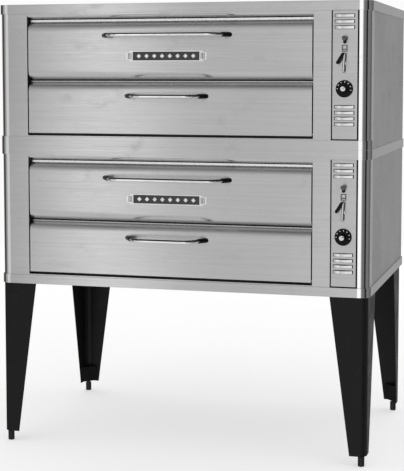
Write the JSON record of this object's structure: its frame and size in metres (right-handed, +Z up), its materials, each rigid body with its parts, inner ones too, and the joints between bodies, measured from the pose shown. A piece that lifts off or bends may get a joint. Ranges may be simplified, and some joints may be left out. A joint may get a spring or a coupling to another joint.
{
  "type": "deck pizza oven",
  "caption": "Double-stacked gas deck oven with drop-down doors, bar handles, side control panels and tapered legs on levelling feet.",
  "frame": {"origin": "centre of the bounding box at floor level", "axes": "+Z up, the doors face -Y, +X to the right when facing the doors"},
  "size_m": [1.53, 1.116, 1.801],
  "materials": {
    "stainless_band": "satin, grain along the band",
    "stainless_front": "satin, fine brushed grain",
    "stainless_side": "satin, fine brushed grain",
    "stainless_panel": "satin, vertical grain",
    "stainless_door": "satin, grain along the door",
    "galvanised": "dull galvanised sheet",
    "aluminised": "aluminised sheet, slightly heat stained",
    "mineral_wool": "matte fibre",
    "deck_board": "matte, lightly scorched",
    "burner_iron": "rough, oxidised",
    "gas_pipe": "black pipe",
    "thermostat_metal": "dull plated",
    "trim_chrome": "bright",
    "handle_chrome": "bright, with dark ferrules",
    "plate_metal": "satin border, dark field",
    "cast_weight": "rough",
    "knob_black": "glossy phenolic with pale ticks",
    "button_ball": "glossy",
    "leg_enamel": "semi-gloss black",
    "foot_steel": "dark plated steel",
    "zinc_bolt": "zinc plated"
  },
  "bodies": {
    "cabinet": {"lower_top_cover": "stainless_band", "lower_base_pan": "stainless_band", "lower_front_frame": "stainless_front", "lower_side_panels": "stainless_side", "lower_back_panel": "galvanised", "lower_oven_liner": "aluminised", "lower_insulation": "mineral_wool", "lower_baking_deck": "deck_board", "lower_burner": "burner_iron", "lower_gas_manifold": "gas_pipe", "lower_thermostat": "thermostat_metal", "lower_flue_outlet": "galvanised", "lower_control_panel": "stainless_panel", "lower_panel_trim": "trim_chrome", "upper_top_cover": "stainless_band", "upper_base_pan": "stainless_band", "upper_front_frame": "stainless_front", "upper_side_panels": "stainless_side", "upper_back_panel": "galvanised", "upper_oven_liner": "aluminised", "upper_insulation": "mineral_wool", "upper_baking_deck": "deck_board", "upper_burner": "burner_iron", "upper_gas_manifold": "gas_pipe", "upper_thermostat": "thermostat_metal", "upper_flue_outlet": "galvanised", "upper_control_panel": "stainless_panel", "upper_panel_trim": "trim_chrome", "leg_bolts": "zinc_bolt", "leg_front_left": "leg_enamel", "leg_front_right": "leg_enamel", "leg_back_left": "leg_enamel", "leg_back_right": "leg_enamel"},
    "lower_baking_door": {"lower_baking_door_skin": "stainless_door", "lower_baking_door_liner": "aluminised", "lower_baking_door_handle": "handle_chrome", "lower_nameplate": "plate_metal", "lower_counterweight": "cast_weight"},
    "lower_burner_door": {"lower_burner_door_skin": "stainless_door", "lower_burner_door_liner": "aluminised", "lower_burner_door_handle": "handle_chrome"},
    "lower_dial": {"lower_thermostat_knob": "knob_black"},
    "lower_gas_lever": {"lower_valve_lever": "trim_chrome"},
    "lower_pilot": {"lower_pilot_button": "button_ball"},
    "upper_baking_door": {"upper_baking_door_skin": "stainless_door", "upper_baking_door_liner": "aluminised", "upper_baking_door_handle": "handle_chrome", "upper_nameplate": "plate_metal", "upper_counterweight": "cast_weight"},
    "upper_burner_door": {"upper_burner_door_skin": "stainless_door", "upper_burner_door_liner": "aluminised", "upper_burner_door_handle": "handle_chrome"},
    "upper_dial": {"upper_thermostat_knob": "knob_black"},
    "upper_gas_lever": {"upper_valve_lever": "trim_chrome"},
    "upper_pilot": {"upper_pilot_button": "button_ball"},
    "levelling_front_left": {"foot_front_left": "foot_steel"},
    "levelling_front_right": {"foot_front_right": "foot_steel"},
    "levelling_back_left": {"foot_back_left": "foot_steel"},
    "levelling_back_right": {"foot_back_right": "foot_steel"}
  },
  "joints": [
    {"name": "lower_baking_door_hinge", "type": "hinge", "parent": "cabinet", "child": "lower_baking_door", "pos_m": [-0.0475, -0.447, 0.951], "axis": [1, 0, 0], "range_deg": [0, 90]},
    {"name": "lower_burner_door_hinge", "type": "hinge", "parent": "cabinet", "child": "lower_burner_door", "pos_m": [-0.0475, -0.459, 0.722], "axis": [1, 0, 0], "range_deg": [0, 90]},
    {"name": "lower_dial_turn", "type": "hinge", "parent": "cabinet", "child": "lower_dial", "pos_m": [0.6615, -0.472, 0.898], "axis": [0, 1, 0], "range_deg": [0, 270]},
    {"name": "lower_gas_lever_turn", "type": "hinge", "parent": "cabinet", "child": "lower_gas_lever", "pos_m": [0.6615, -0.472, 0.9946], "axis": [0, 1, 0], "range_deg": [0, 90]},
    {"name": "lower_pilot_press", "type": "slide", "parent": "cabinet", "child": "lower_pilot", "axis": [0, 0.766, -0.6428], "range_m": [0, 0.005], "stiffness_N_per_m": 400, "springref_m": -0.005},
    {"name": "upper_baking_door_hinge", "type": "hinge", "parent": "cabinet", "child": "upper_baking_door", "pos_m": [-0.0475, -0.447, 1.519], "axis": [1, 0, 0], "range_deg": [0, 90]},
    {"name": "upper_burner_door_hinge", "type": "hinge", "parent": "cabinet", "child": "upper_burner_door", "pos_m": [-0.0475, -0.459, 1.29], "axis": [1, 0, 0], "range_deg": [0, 90]},
    {"name": "upper_dial_turn", "type": "hinge", "parent": "cabinet", "child": "upper_dial", "pos_m": [0.6615, -0.472, 1.466], "axis": [0, 1, 0], "range_deg": [0, 270]},
    {"name": "upper_gas_lever_turn", "type": "hinge", "parent": "cabinet", "child": "upper_gas_lever", "pos_m": [0.6615, -0.472, 1.5626], "axis": [0, 1, 0], "range_deg": [0, 90]},
    {"name": "upper_pilot_press", "type": "slide", "parent": "cabinet", "child": "upper_pilot", "axis": [0, 0.766, -0.6428], "range_m": [0, 0.005], "stiffness_N_per_m": 400, "springref_m": -0.005},
    {"name": "levelling_front_left_slide", "type": "slide", "parent": "cabinet", "child": "levelling_front_left", "axis": [0, 0, -1], "range_m": [0, 0.02]},
    {"name": "levelling_front_right_slide", "type": "slide", "parent": "cabinet", "child": "levelling_front_right", "axis": [0, 0, -1], "range_m": [0, 0.02]},
    {"name": "levelling_back_left_slide", "type": "slide", "parent": "cabinet", "child": "levelling_back_left", "axis": [0, 0, -1], "range_m": [0, 0.02]},
    {"name": "levelling_back_right_slide", "type": "slide", "parent": "cabinet", "child": "levelling_back_right", "axis": [0, 0, -1], "range_m": [0, 0.02]}
  ]
}
